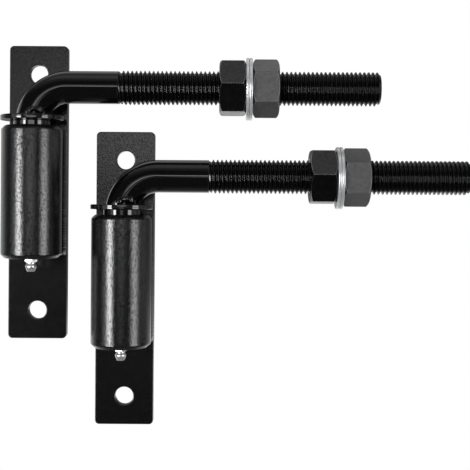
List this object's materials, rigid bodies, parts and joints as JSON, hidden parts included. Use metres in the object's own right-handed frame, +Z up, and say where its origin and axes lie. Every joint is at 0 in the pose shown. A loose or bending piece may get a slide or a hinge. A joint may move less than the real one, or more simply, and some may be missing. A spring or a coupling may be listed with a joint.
{
  "type": "gate hinge pair",
  "caption": "Adjustable gate hinges: bent threaded bolt with nuts and washers, its pin turning in a greased barrel welded to a bolt-on plate.",
  "frame": {"origin": "centre of the upper plate's back face, midway between its two bolt holes", "axes": "+Z up along the hinge pins, +X along the threaded arms towards the gate, +Y into the post"},
  "size_m": [0.2732, 0.0425, 0.2274],
  "materials": {
    "powder_coat": "textured black powder coat",
    "black_coat": "smooth black coat",
    "black_oxide": "black oxide, oiled",
    "zinc_plate": "bright zinc plate",
    "bright_zinc": "bright zinc plate",
    "ball_steel": "polished steel"
  },
  "bodies": {
    "arms": {"upper_j_bolt": "black_coat", "upper_thrust_washer": "black_coat", "upper_washer_weld": "black_coat", "lower_j_bolt": "black_coat", "lower_thrust_washer": "black_coat", "lower_washer_weld": "black_coat"},
    "upper_barrel_and_plate": {"upper_mounting_plate": "powder_coat", "upper_barrel": "powder_coat", "upper_barrel_welds": "powder_coat", "upper_bush": "black_coat", "upper_grease_nipple": "bright_zinc"},
    "upper_ball": {"upper_nipple_ball": "ball_steel"},
    "upper_inner_washer": {"upper_inner_washer": "zinc_plate"},
    "upper_inner_nut": {"upper_inner_nut": "black_oxide"},
    "upper_outer_washer": {"upper_outer_washer": "zinc_plate"},
    "upper_outer_nut": {"upper_outer_nut": "black_oxide"},
    "lower_barrel_and_plate": {"lower_mounting_plate": "powder_coat", "lower_barrel": "powder_coat", "lower_barrel_welds": "powder_coat", "lower_bush": "black_coat", "lower_grease_nipple": "bright_zinc"},
    "lower_ball": {"lower_nipple_ball": "ball_steel"},
    "lower_inner_washer": {"lower_inner_washer": "zinc_plate"},
    "lower_inner_nut": {"lower_inner_nut": "black_oxide"},
    "lower_outer_washer": {"lower_outer_washer": "zinc_plate"},
    "lower_outer_nut": {"lower_outer_nut": "black_oxide"}
  },
  "joints": [
    {"name": "upper_swivel", "type": "hinge", "parent": "arms", "child": "upper_barrel_and_plate", "pos_m": [0, -0.0244, 0], "axis": [0, 0, 1], "range_deg": [-21, 201]},
    {"name": "upper_ball_valve", "type": "slide", "parent": "upper_barrel_and_plate", "child": "upper_ball", "axis": [0, 0, 1], "range_m": [0, 0.0006], "stiffness_N_per_m": 300, "springref_m": -0.0005},
    {"name": "upper_inner_washer_slide", "type": "slide", "parent": "arms", "child": "upper_inner_washer", "axis": [1, 0, 0], "range_m": [-0.0551, 0]},
    {"name": "upper_inner_nut_turn", "type": "hinge", "parent": "upper_inner_washer", "child": "upper_inner_nut", "pos_m": [0.11685, -0.0244, 0.061], "axis": [1, 0, 0], "range_deg": [-7920, 0]},
    {"name": "upper_outer_washer_slide", "type": "slide", "parent": "arms", "child": "upper_outer_washer", "axis": [1, 0, 0], "range_m": [0, 0.0551]},
    {"name": "upper_outer_nut_turn", "type": "hinge", "parent": "upper_outer_washer", "child": "upper_outer_nut", "pos_m": [0.13615, -0.0244, 0.061], "axis": [1, 0, 0], "range_deg": [0, 7920]},
    {"name": "lower_swivel", "type": "hinge", "parent": "arms", "child": "lower_barrel_and_plate", "pos_m": [0.0526, -0.0244, -0.0514], "axis": [0, 0, 1], "range_deg": [-21, 201]},
    {"name": "lower_ball_valve", "type": "slide", "parent": "lower_barrel_and_plate", "child": "lower_ball", "axis": [0, 0, 1], "range_m": [0, 0.0006], "stiffness_N_per_m": 300, "springref_m": -0.0005},
    {"name": "lower_inner_washer_slide", "type": "slide", "parent": "arms", "child": "lower_inner_washer", "axis": [1, 0, 0], "range_m": [-0.0551, 0]},
    {"name": "lower_inner_nut_turn", "type": "hinge", "parent": "lower_inner_washer", "child": "lower_inner_nut", "pos_m": [0.16945, -0.0244, 0.0096], "axis": [1, 0, 0], "range_deg": [-7920, 0]},
    {"name": "lower_outer_washer_slide", "type": "slide", "parent": "arms", "child": "lower_outer_washer", "axis": [1, 0, 0], "range_m": [0, 0.0551]},
    {"name": "lower_outer_nut_turn", "type": "hinge", "parent": "lower_outer_washer", "child": "lower_outer_nut", "pos_m": [0.18875, -0.0244, 0.0096], "axis": [1, 0, 0], "range_deg": [0, 7920]}
  ],
  "couplings": [
    {"joint": "upper_inner_washer_slide", "follows": "upper_inner_nut_turn", "m_per_rad": 0.00039789},
    {"joint": "upper_outer_washer_slide", "follows": "upper_outer_nut_turn", "m_per_rad": 0.00039789},
    {"joint": "lower_inner_washer_slide", "follows": "lower_inner_nut_turn", "m_per_rad": 0.00039789},
    {"joint": "lower_outer_washer_slide", "follows": "lower_outer_nut_turn", "m_per_rad": 0.00039789}
  ]
}
